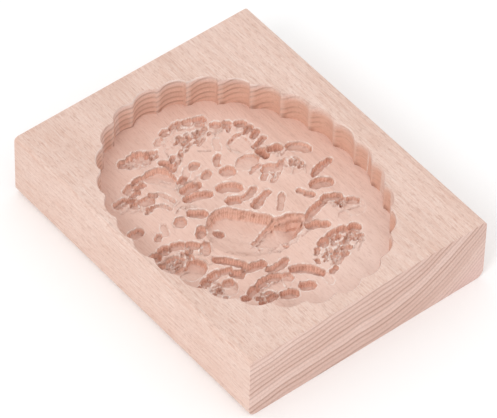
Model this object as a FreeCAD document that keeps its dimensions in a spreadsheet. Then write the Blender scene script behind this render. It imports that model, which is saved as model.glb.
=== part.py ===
import FreeCAD, Part
import math
import os
import Sketcher
from FreeCAD import Vector

# Wooden cookie mould: one block of beech with a scalloped oval recess, and a
# bird among flowers carved into the floor of the recess.
# X runs across the board, Y along its grain and Z up. The origin is the middle
# of the underside, and the bird stands upright when Y points up the page.

doc = FreeCAD.newDocument("cookie_mould")

# Driving dimensions, in millimetres unless the name says otherwise.
# The recess lies off the middle of the board, recess_shift to the left and
# recess_drop down. The picture was drawn on an oval of drawn_across by
# drawn_along. It is stretched to fit the recess and stands picture_lift above
# the middle of it.
SIZES = {
    "board_across": 75.0,
    "board_along": 94.0,
    "board_thick": 20.0,
    "edge_round": 1.3,
    "foot_round": 2.4,
    "recess_across": 66.8,
    "recess_along": 83.6,
    "recess_depth": 8.8,
    "recess_shift": 2.8,
    "recess_drop": 2.0,
    "scallop_count": 28,
    "scallop_rise": 1.5,
    "drawn_across": 66.8,
    "drawn_along": 83.6,
    "picture_lift": 1.5,
    "bird_depth": 2.6,
    "wing_depth": 1.3,
    "deep_cut": 2.0,
    "dish_cut": 1.6,
    "fine_cut": 1.0,
}

DERIVED = {
    "floor_height": "board_thick - recess_depth",
    "fit_across": "recess_across / drawn_across",
    "fit_along": "recess_along / drawn_along",
    "picture_middle": "picture_lift * fit_along - recess_drop",
}


def make_sheet():
    sheet = doc.addObject("Spreadsheet::Sheet", "sizes")
    rows = list(SIZES.items()) + [(name, "=" + rule) for name, rule in DERIVED.items()]
    for row, (name, value) in enumerate(rows, start=1):
        sheet.set("A%d" % row, name)
        sheet.set("B%d" % row, str(value))
        sheet.setAlias("B%d" % row, name)
    doc.recompute()
    return sheet


sheet = make_sheet()


def size(name):
    return float(sheet.get(name))


def bind(thing, prop, rule):
    """Tie a property to the sheet; names of cells in the rule stand in braces."""
    cells = {name: "sizes." + name for name in list(SIZES) + list(DERIVED)}
    thing.setExpression(prop, rule.format(**cells))


# The carved picture, in millimetres from the middle of the recess.
# A cut is one stroke of a gouge: where it starts, where it ends and its width.

KNIFE_WIDTH = 2.25
KNIFE_WAIST = 0.4
SLIM = 0.62
BLUNT = 0.55

BIRD_OUTLINE = [
    (-13.6, -1.2), (-10.0, 2.0), (-5.0, 3.1),
    (1.0, -0.6), (5.6, -6.9),
    (10.4, -8.4), (12.6, -13.2),
    (14.6, -15.6), (14.8, -18.0),
    (8.0, -18.2), (2.0, -19.3),
    (-4.0, -18.6), (-9.0, -15.4),
    (-12.6, -10.0), (-13.4, -5.4),
    (-12.6, -3.2),
]

WING_CUTS = [
    (0.6, -11.2, 11.6, -12.4, 6.4),
    (-4.6, -13.2, 6.6, -15.0, 4.6),
]

EYE = (-10.0, -1.7, -7.4, -1.7, 2.6)

DEEP_CUTS = {
    "beak_and_tail": [
        (-16.2, -1.6, -12.6, 0.4, 2.2),
        (12.4, -13.4, 20.8, -9.9, 2.8),
        (-15.9, -9.4, -9.2, -17.4, 2.6),
    ],
    "tail_tips": [
        (19.2, -11.7, 23.6, -11.5, 2.0),
        (19.2, -10.6, 21.4, -8.9, 1.9),
    ],
    "bud_stems": [
        (-8.5, 13.2, -1.8, 13.0, 2.8),
        (-9.5, 10.7, -1.6, 8.5, 3.0),
        (-6.5, 15.9, -2.8, 17.1, 1.9),
        (-11.5, 7.2, -7.1, 3.6, 3.0),
        (-0.4, 8.7, 5.6, 5.3, 3.3),
        (-1.1, 3.9, 2.6, 2.7, 3.0),
        (2.7, -2.0, 10.1, 0.1, 2.5),
        (16.6, 9.2, 16.7, 13.4, 2.8),
        (18.7, 10.9, 21.4, 10.3, 2.5),
        (-5.8, 25.0, -4.7, 19.6, 2.0),
    ],
    "side_leaves": [
        (19.5, -4.6, 25.0, -7.1, 3.2),
        (21.0, -2.9, 29.8, -0.8, 2.5),
        (-24.8, 18.8, -19.5, 19.4, 2.5),
        (-18.7, 15.9, -14.7, 15.9, 2.9),
        (-27.8, 9.6, -23.0, 9.5, 3.3),
        (-7.9, -20.4, -0.9, -20.3, 2.6),
        (-2.9, -23.5, 3.8, -30.2, 3.1),
    ],
    "left_flower": [
        (-28.0, 0.1, -25.3, 0.4, 2.4),
        (-24.5, 0.6, -21.5, 0.7, 2.9),
        (-21.2, -0.4, -17.6, -1.3, 3.1),
        (-18.4, -1.9, -15.4, -3.4, 2.5),
    ],
    "corner_flower": [
        (-24.6, -15.6, -21.2, -12.9, 3.1),
        (-20.6, -13.4, -17.3, -12.9, 2.8),
        (-16.9, -13.3, -13.8, -13.8, 2.6),
        (-16.2, -16.2, -12.7, -16.4, 3.5),
    ],
    "low_flower": [
        (-16.3, -23.7, -12.4, -22.8, 2.6),
        (-12.0, -22.8, -5.4, -23.4, 3.0),
        (-14.2, -28.4, -10.8, -27.9, 1.8),
        (-10.6, -29.3, -5.2, -29.6, 2.8),
        (-4.8, -30.0, 0.1, -30.1, 2.6),
    ],
    "carnation": [
        (8.0, -21.7, 11.4, -20.4, 2.3),
        (11.8, -20.3, 14.8, -19.9, 2.1),
        (15.2, -20.7, 18.0, -20.9, 2.6),
        (18.2, -21.9, 20.8, -21.8, 2.8),
        (12.0, -24.9, 14.6, -26.9, 2.5),
        (7.4, -28.9, 12.8, -27.9, 2.8),
    ],
}

DISH_CUTS = {
    "top_petals": [
        (-14.9, 27.6, -5.6, 28.4, 6.6),
        (-10.2, 23.8, -8.6, 12.6, 6.4),
        (-19.2, 20.6, -15.8, 21.6, 3.6),
        (-15.6, 21.4, -13.4, 21.6, 2.4),
        (-22.7, 11.6, -14.2, 11.4, 4.4),
        (-16.4, 4.2, -13.2, 7.4, 3.0),
    ],
    "buds": [
        (-1.0, 17.9, 2.0, 19.7, 2.3),
        (-0.3, 13.1, 2.3, 15.1, 2.1),
        (4.0, 11.6, 8.0, 11.9, 3.2),
        (1.2, 1.7, 8.1, 3.2, 1.8),
        (15.4, -4.3, 16.9, -5.8, 1.7),
        (16.3, -5.8, 18.1, -7.8, 1.9),
    ],
    "peony": [
        (-0.6, 31.3, 2.5, 32.9, 1.8),
        (3.2, 33.0, 6.6, 32.5, 1.8),
        (7.0, 31.6, 9.6, 30.7, 1.9),
        (9.6, 30.3, 12.7, 29.7, 2.7),
        (1.0, 23.6, 4.7, 24.2, 1.9),
    ],
    "aster": [
        (14.5, 24.0, 17.7, 25.2, 1.6),
        (16.9, 22.1, 20.1, 23.4, 2.4),
        (16.5, 19.5, 20.8, 20.5, 1.5),
        (17.6, 17.0, 21.1, 18.5, 1.4),
        (15.5, 14.4, 20.8, 15.6, 1.6),
        (10.7, 15.4, 15.2, 19.3, 5.6),
        (4.6, 14.4, 7.7, 18.7, 2.0),
        (8.4, 19.0, 10.7, 23.3, 2.0),
        (11.0, 23.5, 14.9, 27.1, 2.2),
    ],
    "rose": [
        (10.9, 4.2, 15.9, 7.3, 2.8),
        (12.2, 1.9, 16.6, 5.4, 1.9),
        (16.9, -0.8, 22.4, 5.2, 6.2),
        (22.7, 9.2, 27.3, 4.9, 3.0),
        (18.8, -17.7, 24.8, -15.5, 5.4),
    ],
    "small_leaves": [
        (-25.8, -9.0, -18.2, -8.6, 6.0),
        (-16.2, -7.2, -13.2, -3.5, 2.7),
        (-20.5, -20.2, -16.6, -17.5, 3.6),
        (-6.5, -25.3, -2.1, -25.0, 3.0),
        (7.4, -6.9, 12.6, -2.1, 1.8),
    ],
}

FINE_CUTS = {
    "seeds": [
        (-22.8, 3.9, -21.2, 5.1, 1.5),
        (-14.7, 23.6, -12.7, 23.4, 1.5),
        (-20.8, 16.1, -18.9, 16.7, 2.0),
        (-27.8, -3.3, -25.4, -3.9, 1.2),
        (-25.6, -5.1, -21.2, -4.3, 1.3),
        (-23.4, -18.3, -22.2, -16.6, 1.3),
        (-21.8, -19.0, -19.7, -16.8, 2.0),
        (-18.0, -24.9, -16.2, -24.0, 1.8),
        (-16.1, -26.6, -14.0, -26.1, 1.2),
        (-13.4, -26.3, -10.4, -26.0, 1.2),
        (13.5, -24.7, 16.4, -23.3, 1.6),
        (5.7, -23.5, 7.4, -21.1, 1.3),
        (2.2, 27.4, 4.3, 28.1, 1.2),
        (3.0, 26.0, 6.1, 26.4, 1.2),
    ],
}


def origin_plane(body, role):
    return [item for item in body.Origin.OriginFeatures if item.Role == role][0]


def sketch_on(body, name, role, height_rule=None):
    """A sketch on one of the body's planes, raised along the plane's normal."""
    sketch = body.newObject("Sketcher::SketchObject", name)
    sketch.AttachmentSupport = [(origin_plane(body, role), "")]
    sketch.MapMode = "FlatFace"
    if height_rule:
        bind(sketch, "AttachmentOffset.Base.z", height_rule)
    return sketch


def draw_closed(sketch, points, step):
    """A closed outline: straight from point to point with a step of 1, or arcs with a step
    of 2, where every second point is the middle of an arc."""
    for index in range(0, len(points), step):
        ends = [Vector(*points[(index + turn) % len(points)], 0) for turn in range(step + 1)]
        edge = Part.LineSegment(*ends) if step == 1 else Part.Arc(*ends)
        sketch.addGeometry(edge, False)


def round_edges(body, name, height, radius):
    """Round over the two edges along the grain at one height."""
    board = body.Tip
    along = [
        "Edge%d" % number
        for number, edge in enumerate(board.Shape.Edges, start=1)
        if abs(edge.tangentAt(edge.FirstParameter).y) > 0.99
        and abs(edge.CenterOfMass.z - height) < 0.01
    ]
    rounding = body.newObject("PartDesign::Fillet", name)
    rounding.Base = (board, along)
    bind(rounding, "Radius", radius)
    doc.recompute()


def make_blank():
    """The planed board, with the four edges along the grain rounded over."""
    body = doc.addObject("PartDesign::Body", "blank")

    section = sketch_on(body, "board_section", "XZ_Plane")
    half = size("board_across") / 2
    corners = [(-half, 0), (half, 0), (half, size("board_thick")), (-half, size("board_thick"))]
    for start, end in zip(corners, corners[1:] + corners[:1]):
        section.addGeometry(Part.LineSegment(Vector(*start, 0), Vector(*end, 0)), False)
    for line in range(4):
        section.addConstraint(Sketcher.Constraint("Coincident", line, 2, (line + 1) % 4, 1))
    section.addConstraint(Sketcher.Constraint("Horizontal", 0))
    section.addConstraint(Sketcher.Constraint("Vertical", 1))
    section.addConstraint(Sketcher.Constraint("Horizontal", 2))
    section.addConstraint(Sketcher.Constraint("Vertical", 3))
    section.addConstraint(Sketcher.Constraint("Symmetric", 0, 1, 0, 2, -1, 1))
    across = section.addConstraint(Sketcher.Constraint("DistanceX", 0, 1, 0, 2, 2 * half))
    thick = section.addConstraint(Sketcher.Constraint("DistanceY", 1, 1, 1, 2, size("board_thick")))
    bind(section, "Constraints[%d]" % across, "{board_across}")
    bind(section, "Constraints[%d]" % thick, "{board_thick}")

    plank = body.newObject("PartDesign::Pad", "plank")
    plank.Profile = section
    plank.Midplane = True
    bind(plank, "Length", "{board_along}")
    doc.recompute()

    round_edges(body, "rounded_top", size("board_thick"), "{edge_round}")
    round_edges(body, "rounded_foot", 0, "{foot_round}")
    return body


def scallop_points():
    """Cusps and lobe tips of the oval in turn, at even steps along the rim."""
    count = int(size("scallop_count"))
    tip = Vector(size("recess_across") / 2, size("recess_along") / 2, 0)
    stretch = (tip.x - tip.y) / (tip.x + tip.y) / 2
    points = []
    for step in range(2 * count):
        turn = math.pi * (step - 1) / count
        angle = turn + stretch * math.sin(2 * turn)
        inset = size("scallop_rise") if step % 2 == 0 else 0.0
        across = (tip.x - inset) * math.cos(angle)
        along = (tip.y - inset) * math.sin(angle)
        points.append((across - size("recess_shift"), along - size("recess_drop")))
    return points


def cut_recess(body):
    outline = sketch_on(body, "scalloped_rim", "XY_Plane", "{board_thick}")
    draw_closed(outline, scallop_points(), 2)
    recess = body.newObject("PartDesign::Pocket", "recess")
    recess.Profile = outline
    bind(recess, "Length", "{recess_depth}")
    doc.recompute()
    return recess


def on_floor(point):
    """A point of the picture, placed on the floor of the recess."""
    across = point[0] * size("fit_across") - size("recess_shift")
    return (across, point[1] * size("fit_along") + size("picture_middle"))


def cut_bird(body):
    outline = sketch_on(body, "bird_outline", "XY_Plane", "{floor_height}")
    draw_closed(outline, [on_floor(point) for point in BIRD_OUTLINE], 2)
    bird = body.newObject("PartDesign::Pocket", "bird")
    bird.Profile = outline
    bind(bird, "Length", "{bird_depth}")
    doc.recompute()
    return bird


def draw_stroke(sketch, cut):
    """One cut seen from above. A narrow one is a knife cut with six straight sides, a slim
    one a leaf of two arcs, and a broad one a petal with rounded ends."""
    x1, y1, x2, y2, width = cut
    length = math.hypot(x2 - x1, y2 - y1)
    along = ((x2 - x1) / length, (y2 - y1) / length)
    middle = ((x1 + x2) / 2, (y1 + y2) / 2)

    def at(lengthwise, sideways):
        across = middle[0] + lengthwise * along[0] - sideways * along[1]
        return on_floor((across, middle[1] + lengthwise * along[1] + sideways * along[0]))

    tip, side = length / 2, width / 2
    if width < KNIFE_WIDTH:
        waist = tip * KNIFE_WAIST
        corners = [(-tip, 0), (-waist, -side), (waist, -side), (tip, 0), (waist, side), (-waist, side)]
        draw_closed(sketch, [at(*corner) for corner in corners], 1)
    elif width < SLIM * length:
        draw_closed(sketch, [at(-tip, 0), at(0, -side), at(tip, 0), at(0, side)], 2)
    else:
        shoulder, end = tip - BLUNT * side / 2, BLUNT * side
        near_side = [(-shoulder, -end), (0, -side), (shoulder, -end), (tip, 0)]
        far_side = [(shoulder, end), (0, side), (-shoulder, end), (-tip, 0)]
        draw_closed(sketch, [at(*point) for point in near_side + far_side], 2)


def cut_strokes(body, name, cuts, depth, start="{floor_height}"):
    """Pocket a group of gouge strokes into the wood below the sketch."""
    drawing = sketch_on(body, name + "_outline", "XY_Plane", start)
    for cut in cuts:
        draw_stroke(drawing, cut)
    pocket = body.newObject("PartDesign::Pocket", name)
    pocket.Profile = drawing
    pocket.Refine = False
    bind(pocket, "Length", depth)
    doc.recompute()
    return pocket


def cut_picture(body):
    cut_strokes(body, "wing", WING_CUTS, "{wing_depth}", "{floor_height} - {bird_depth}")
    cut_strokes(body, "eye", [EYE], "{fine_cut}", "{floor_height} - {bird_depth}")
    for groups, depth in ((DEEP_CUTS, "{deep_cut}"), (DISH_CUTS, "{dish_cut}"), (FINE_CUTS, "{fine_cut}")):
        for name, cuts in groups.items():
            cut_strokes(body, name, cuts, depth)


def make_mould():
    mould = make_blank()
    volumes = [mould.Shape.Volume]
    steps = (("recess", cut_recess), ("bird", cut_bird), ("picture", cut_picture))
    for what, cut in steps:
        cut(mould)
        volumes.append(mould.Shape.Volume)
        if volumes[-1] >= volumes[-2]:
            raise RuntimeError("%s took nothing out of the board" % what)
        print("%s takes out %.0f cubic millimetres" % (what, volumes[-2] - volumes[-1]))
    mould.Label = "mould_board"
    return mould


def check(part):
    for thing in doc.Objects:
        if "Invalid" in thing.State or "Error" in thing.State:
            raise RuntimeError("%s failed: %s" % (thing.Name, thing.State))
    if part.Shape.isNull() or not part.Shape.isValid():
        raise RuntimeError("%s has no valid shape" % part.Label)
    if len(part.Shape.Solids) != 1:
        raise RuntimeError("%s is %d solids" % (part.Label, len(part.Shape.Solids)))


parts = [make_mould()]
for part in parts:
    check(part)
os.makedirs("parts", exist_ok=True)
for part in parts:
    part.Shape.exportStep("parts/%s.step" % part.Label)
    box = part.Shape.BoundBox
    print(part.Label, "%.2f x %.2f x %.2f" % (box.XLength, box.YLength, box.ZLength))
    print("faces", len(part.Shape.Faces), "volume %.0f" % part.Shape.Volume)
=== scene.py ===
import math

import bmesh
import bpy
import numpy as np
from mathutils import Matrix, Vector


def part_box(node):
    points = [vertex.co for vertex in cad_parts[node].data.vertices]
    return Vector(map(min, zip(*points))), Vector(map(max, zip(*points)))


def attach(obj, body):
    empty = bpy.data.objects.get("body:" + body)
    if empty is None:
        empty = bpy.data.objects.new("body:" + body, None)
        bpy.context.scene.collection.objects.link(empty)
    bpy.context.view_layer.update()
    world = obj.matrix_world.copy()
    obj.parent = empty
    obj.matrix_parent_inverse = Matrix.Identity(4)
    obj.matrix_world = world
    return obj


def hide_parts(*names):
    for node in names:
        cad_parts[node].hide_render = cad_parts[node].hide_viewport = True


# A wooden cookie mould: a beech board with a scalloped oval recess, and a bird
# among flowers carved into the floor of the recess. The mesh is worked out in
# millimetres and brought to metres when it is finished.

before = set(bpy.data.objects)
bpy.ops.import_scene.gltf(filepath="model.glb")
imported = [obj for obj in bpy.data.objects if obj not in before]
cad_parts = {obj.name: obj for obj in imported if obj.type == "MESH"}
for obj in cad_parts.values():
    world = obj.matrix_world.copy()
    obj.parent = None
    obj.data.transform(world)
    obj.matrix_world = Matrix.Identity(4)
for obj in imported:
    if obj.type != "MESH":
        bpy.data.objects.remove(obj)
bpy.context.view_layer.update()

MM = 0.001
BOARD_LOW, BOARD_HIGH = (Vector(corner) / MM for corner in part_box("mould_board"))

# The board and its recess, in millimetres.
EDGE_ROUND = 1.3
FOOT_ROUND = 2.4
ROUND_STEPS = 8
END_EASE = 0.12
RECESS_ACROSS = 66.8
RECESS_ALONG = 83.6
RECESS_DEPTH = 8.8
RECESS_MIDDLE = Vector((-2.8, -2.0))
PICTURE_MIDDLE = Vector((-2.8, -0.5))
SCALLOPS = 28
SCALLOP_RISE = 1.5
RECESS_STRETCH = (RECESS_ACROSS - RECESS_ALONG) / (RECESS_ACROSS + RECESS_ALONG) / 2
RIM_SLOPE = 0.25
LOBE_STEPS = 10
FLOOR = BOARD_HIGH.z - RECESS_DEPTH
FLOOR_STEP = 0.225

# How far the tools that cut the recess reach past it.
SLOPE_ABOVE = 5.0
SLAB_ABOVE = 2.0
SLAB_BESIDE = 0.5

# Edges that bend by more degrees than these stay sharp.
TOP_CREASE = 20
CREASE = 70

# Every cut is steepest on its far side. Its wall has a slope, its near side a
# low lip, and the hand that carves it wobbles a little.
STEEP_SIDE = (0.64, 0.77)
WALL_SLOPE = 4.2
NEAR_LIP = 0.12
HAND_WOBBLE = 0.07
FINE_WOBBLE = 0.05

# A stroke is a little wider than its gouge, and a long one is thinner at its ends.
STROKE_SPREAD = 0.2
LONG_STROKE = 5.0
END_TAPER = 0.3
# How much painted shade a stroke gets at its foot.
STROKE_SHADE = 0.6

# The painted highlight along the edge beside a cut, and the depth from which it is at full strength.
RIM_INSET = 0.1
RIM_REACH = 0.22
RIM_HIGHLIGHT_DEPTH = 1.5

# Deeper than any cut, so that a rim is kept whatever lies there.
BELOW_ALL = 9.0

# The picture, in millimetres from its own middle. Outlines are closed curves.
BIRD_DEPTH = 3.3
BIRD_HOLLOW = 2.4
BIRD_SLOPE = 2.2
BIRD = [
    (-12.7, -2.8), (-11.9, -0.6), (-10.4, 1.1), (-8.4, 2.8), (-6.6, 3.7), (-4.6, 3.8),
    (-2.6, 3.2), (-1.5, 2.2), (0.0, 0.2), (1.9, -2.0), (3.2, -3.7), (4.6, -5.6), (5.0, -7.0),
    (4.6, -9.0), (3.4, -12.2), (1.0, -14.8), (-3.0, -15.6), (-6.4, -14.6), (-9.2, -12.6),
    (-11.4, -10.2), (-12.8, -7.2), (-13.2, -4.8),
]

# The wing goes down to a shelf, and inside a ledge on to its own depth, which
# is greater by the tail.
WING_DEPTH = 3.4
TAIL_DEPTH = 4.8
WING_SHELF = 2.1
WING_LEDGE = 1.2
WING_STEP = 1.1
WING_SLOPE = 1.8
WING = [
    (-4.6, -9.6), (-2.0, -8.2), (0.4, -7.0), (2.4, -6.3), (4.4, -6.8), (6.2, -7.5), (8.6, -7.9),
    (10.4, -9.2), (12.0, -11.4), (10.6, -12.8), (7.4, -14.6), (4.0, -15.6), (0.0, -15.0),
    (-3.0, -12.8),
]

EYE = (-8.3, -1.5)
EYE_ROUND = 1.55
EYE_STRETCH = 1.3
EYE_DEPTH = 2.0

# A stroke is where a gouge starts, where it ends, how wide and how deep it
# cuts, and how far its path bows to the left.
STROKES = {
    "beak, tail and branch": [
        (-13.4, -0.5, -11.7, 1.0, 2.3, 2.1, 0.0),
        (10.6, -12.6, 18.2, -10.3, 2.2, 1.9, 0.3),
        (18.9, -9.7, 22.2, -11.4, 2.3, 1.8, 0.2),
        (10.2, -14.6, 12.0, -15.2, 2.5, 2.3, 0.0),
        (12.4, -15.9, 13.8, -16.8, 2.2, 2.0, 0.0),
        (-15.5, -9.2, -10.9, -15.0, 2.3, 2.3, 0.3),
        (-11.4, -16.3, -7.0, -17.3, 2.6, 2.3, 0.0),
    ],
    "leaves round the bird": [
        (-7.0, -19.8, -1.9, -19.7, 2.3, 1.9, -0.7),
        (3.8, -1.2, 5.4, -0.4, 2.5, 1.9, 0.0),
        (5.4, -0.4, 9.3, 0.6, 1.7, 1.5, 0.1),
        (7.8, -5.8, 11.4, -2.2, 1.5, 1.0, 0.0),
        (19.9, -4.8, 23.2, -6.2, 3.3, 1.9, 0.4),
        (21.9, -1.9, 28.2, -0.5, 1.9, 1.7, 0.4),
        (15.5, -3.9, 16.0, -4.7, 1.5, 1.3, 0.0),
        (16.4, -5.9, 17.2, -6.9, 1.8, 1.5, 0.0),
        (-15.9, -5.7, -14.4, -3.9, 2.5, 1.4, 0.0),
        (-2.3, -23.3, 2.4, -28.4, 2.8, 2.4, 0.7),
        (2.9, -29.4, 2.6, -32.2, 1.7, 0.5, 0.0),
    ],
    "buds over the back": [
        (-7.3, 13.5, -3.4, 13.4, 2.9, 2.2, 0.0),
        (-8.6, 10.9, -3.0, 8.9, 2.6, 2.2, 0.5),
        (-10.6, 6.6, -8.3, 4.6, 2.7, 2.2, 0.0),
        (-6.1, 16.4, -4.4, 17.2, 1.9, 2.0, 0.0),
        (-4.0, 17.2, -1.8, 19.2, 1.6, 0.6, 0.0),
        (-0.5, 18.6, 0.4, 18.9, 2.3, 1.4, 0.0),
        (-3.0, 14.2, -0.9, 14.6, 1.7, 0.6, 0.0),
        (0.0, 14.3, 1.0, 14.8, 2.2, 1.4, 0.0),
        (0.5, 8.6, 4.0, 6.2, 3.3, 2.1, 0.5),
        (-0.2, 3.9, 1.4, 3.3, 2.8, 2.2, 0.0),
        (2.6, 2.6, 7.0, 3.7, 1.9, 1.2, -0.4),
        (5.3, 12.2, 5.7, 12.1, 3.6, 1.6, 0.0),
        (9.8, 8.2, 13.4, 8.9, 0.9, 0.9, 0.2),
        (14.2, 6.5, 14.6, 6.6, 3.4, 1.5, 0.0),
        (11.0, 4.8, 12.5, 5.7, 1.4, 1.2, 0.0),
        (14.8, 4.0, 18.2, 6.4, 1.8, 1.4, 0.2),
        (12.2, 2.5, 14.0, 3.2, 1.0, 1.0, 0.0),
        (16.4, 10.9, 16.4, 12.6, 2.7, 2.9, 0.0),
        (19.1, 11.4, 20.7, 10.9, 2.5, 2.4, 0.0),
        (23.2, 9.0, 26.0, 5.9, 3.0, 1.4, 0.6),
    ],
    "petals, upper left": [
        (-14.4, 30.0, -13.5, 30.6, 2.0, 1.9, 0.0),
        (-15.2, 23.6, -13.4, 23.6, 1.6, 1.7, 0.0),
        (-18.5, 22.0, -17.0, 22.6, 2.6, 1.6, 0.0),
        (-18.2, 20.4, -16.8, 20.5, 1.8, 1.8, 0.0),
        (-16.1, 21.9, -15.8, 21.6, 1.5, 2.8, 0.0),
        (-15.0, 21.3, -14.2, 21.5, 1.5, 1.5, 0.0),
        (-23.6, 19.7, -21.2, 20.0, 2.4, 1.5, 0.0),
        (-21.4, 19.6, -19.0, 19.2, 1.5, 1.8, 0.0),
        (-20.2, 17.4, -19.6, 16.8, 2.0, 1.4, 0.0),
        (-17.7, 16.7, -16.2, 16.4, 3.0, 1.4, 0.0),
        (-14.7, 17.6, -13.9, 16.8, 1.4, 1.4, 0.0),
        (-13.2, 16.8, -11.6, 12.3, 1.1, 0.8, 0.5),
        (-15.7, 13.8, -13.8, 11.0, 1.0, 0.8, 0.4),
        (-26.6, 9.6, -24.8, 9.6, 2.7, 1.5, 0.0),
        (-22.6, 4.8, -21.5, 5.6, 1.5, 1.2, 0.0),
        (-14.8, 5.6, -14.3, 6.2, 2.9, 1.5, 0.0),
        (-20.0, 4.8, -18.6, 7.6, 1.4, 0.6, 0.0),
        (-5.9, 24.6, -5.2, 21.0, 2.1, 2.2, 0.7),
    ],
    "left flower": [
        (-27.2, 0.4, -26.6, 0.4, 2.7, 1.7, 0.0),
        (-23.9, 0.9, -23.0, 1.0, 2.8, 2.1, 0.0),
        (-20.6, 0.2, -19.4, -0.4, 3.0, 1.7, 0.0),
        (-17.4, -1.4, -16.5, -2.5, 2.5, 1.9, 0.0),
        (-27.6, -2.8, -26.4, -3.5, 1.2, 1.4, 0.0),
        (-25.2, -2.4, -24.0, -2.6, 1.0, 1.2, 0.0),
        (-26.5, -5.1, -25.3, -5.1, 1.0, 1.2, 0.0),
        (-24.7, -4.2, -22.8, -4.1, 1.3, 1.5, 0.0),
        (-22.7, -2.6, -21.9, -4.0, 1.0, 1.2, 0.0),
        (-24.4, -5.4, -23.0, -5.3, 0.9, 1.0, 0.0),
    ],
    "corner flower": [
        (-24.3, -14.4, -24.0, -15.2, 1.8, 1.9, 0.0),
        (-22.2, -13.6, -21.2, -13.3, 2.3, 2.0, 0.0),
        (-19.5, -13.1, -18.0, -12.9, 2.5, 1.9, 0.0),
        (-16.4, -13.5, -15.0, -13.9, 2.1, 1.8, 0.0),
        (-14.6, -15.6, -13.6, -16.6, 2.7, 2.2, 0.0),
        (-22.8, -17.8, -22.6, -18.0, 1.0, 1.3, 0.0),
        (-21.2, -17.9, -20.4, -17.4, 1.6, 1.6, 0.0),
        (-23.0, -16.3, -22.4, -16.2, 0.8, 1.0, 0.0),
        (-21.2, -15.8, -20.0, -15.9, 0.8, 1.0, 0.0),
        (-21.6, -20.4, -21.0, -20.5, 0.7, 0.8, 0.0),
        (-18.0, -17.0, -17.2, -17.0, 2.2, 1.6, 0.0),
    ],
    "low flower": [
        (-17.8, -23.5, -16.9, -23.8, 1.7, 2.0, 0.0),
        (-15.2, -23.1, -13.8, -22.6, 2.3, 1.9, 0.0),
        (-11.7, -22.3, -9.8, -22.0, 2.5, 2.1, 0.0),
        (-8.4, -22.2, -6.8, -22.9, 2.5, 2.0, 0.0),
        (-15.1, -25.7, -14.6, -25.8, 1.3, 1.5, 0.0),
        (-12.0, -25.5, -11.2, -25.7, 1.2, 1.5, 0.0),
        (-13.4, -25.0, -13.1, -25.2, 0.9, 0.9, 0.0),
        (-15.4, -27.3, -14.9, -27.5, 1.1, 1.6, 0.0),
        (-13.0, -27.5, -11.3, -27.3, 1.7, 1.7, 0.0),
        (-8.9, -28.5, -7.2, -29.5, 3.1, 2.2, 0.0),
        (-3.6, -29.3, -2.1, -30.0, 2.8, 2.2, 0.0),
    ],
    "carnation": [
        (8.7, -21.0, 9.9, -20.7, 2.1, 1.9, 0.0),
        (11.9, -20.2, 13.8, -20.0, 1.8, 1.7, 0.0),
        (15.5, -20.4, 16.3, -21.0, 2.3, 1.9, 0.0),
        (18.4, -21.5, 19.0, -22.0, 2.5, 2.2, 0.0),
        (5.8, -22.7, 6.8, -21.8, 1.2, 1.3, 0.0),
        (4.1, -25.2, 4.3, -24.5, 1.1, 1.2, 0.0),
        (11.2, -23.0, 11.9, -23.3, 1.5, 1.3, 0.0),
        (14.2, -24.0, 15.2, -23.6, 1.7, 1.6, 0.0),
        (12.5, -25.3, 13.4, -25.9, 2.0, 2.0, 0.0),
        (8.0, -28.1, 11.4, -27.1, 2.3, 2.1, 0.6),
        (4.8, -29.8, 6.3, -29.4, 1.3, 1.3, 0.0),
        (8.5, -24.6, 9.1, -23.6, 1.0, 1.0, 0.0),
        (6.8, -25.8, 7.2, -24.8, 0.9, 1.0, 0.0),
        (9.6, -25.6, 10.4, -25.2, 0.8, 0.9, 0.0),
    ],
    "flower by the tail": [
        (23.3, -14.2, 24.3, -14.9, 2.4, 1.4, 0.0),
    ],
    "peony": [
        (-2.7, 30.3, -1.4, 30.9, 1.7, 0.9, 0.0),
        (0.6, 32.1, 1.9, 32.4, 2.0, 1.4, 0.0),
        (3.4, 32.5, 6.2, 33.0, 1.2, 1.2, 0.2),
        (5.3, 31.4, 6.1, 31.3, 2.0, 1.2, 0.0),
        (7.7, 31.7, 8.5, 31.4, 2.3, 1.5, 0.0),
        (10.3, 30.7, 11.5, 30.2, 2.4, 1.8, 0.0),
        (9.5, 29.2, 10.4, 29.0, 1.3, 1.3, 0.0),
        (-3.7, 21.7, -2.6, 22.1, 1.3, 1.2, 0.0),
        (-2.2, 22.6, -0.9, 23.9, 0.9, 0.7, 0.3),
        (-0.6, 24.0, 1.4, 24.6, 0.9, 0.7, 0.3),
        (1.7, 24.7, 3.2, 25.3, 0.9, 0.8, 0.2),
        (3.6, 25.1, 4.8, 25.2, 0.9, 0.8, 0.0),
        (2.2, 27.9, 3.7, 28.6, 1.3, 1.8, 0.0),
        (2.7, 26.3, 5.0, 26.9, 1.3, 1.7, 0.2),
        (5.2, 23.6, 7.9, 24.6, 0.8, 0.8, 0.0),
        (5.4, 25.0, 6.0, 25.2, 0.9, 1.3, 0.0),
        (8.7, 26.8, 10.3, 27.7, 1.1, 1.5, 0.0),
        (6.6, 26.0, 7.4, 26.6, 0.9, 0.8, 0.0),
    ],
    "aster": [
        (12.8, 26.7, 13.2, 26.2, 2.3, 1.3, 0.0),
        (15.4, 25.5, 16.1, 25.0, 1.5, 1.4, 0.0),
        (18.0, 23.3, 18.5, 22.8, 2.5, 1.6, 0.0),
        (17.2, 19.8, 18.6, 20.2, 1.1, 1.3, 0.0),
        (18.4, 20.2, 19.7, 20.8, 1.6, 1.6, 0.0),
        (17.8, 17.4, 18.8, 17.8, 1.2, 1.4, 0.0),
        (18.8, 17.9, 19.9, 18.4, 1.7, 1.6, 0.0),
        (15.9, 14.6, 17.8, 15.0, 1.1, 1.4, 0.0),
        (17.8, 15.0, 19.9, 15.7, 1.5, 1.5, 0.0),
        (4.8, 15.4, 7.2, 18.0, 1.4, 1.3, 0.4),
        (8.2, 19.6, 9.9, 22.6, 1.6, 0.4, 0.0),
        (12.0, 19.6, 16.2, 20.3, 0.7, 1.0, 0.4),
    ],
}

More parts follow.
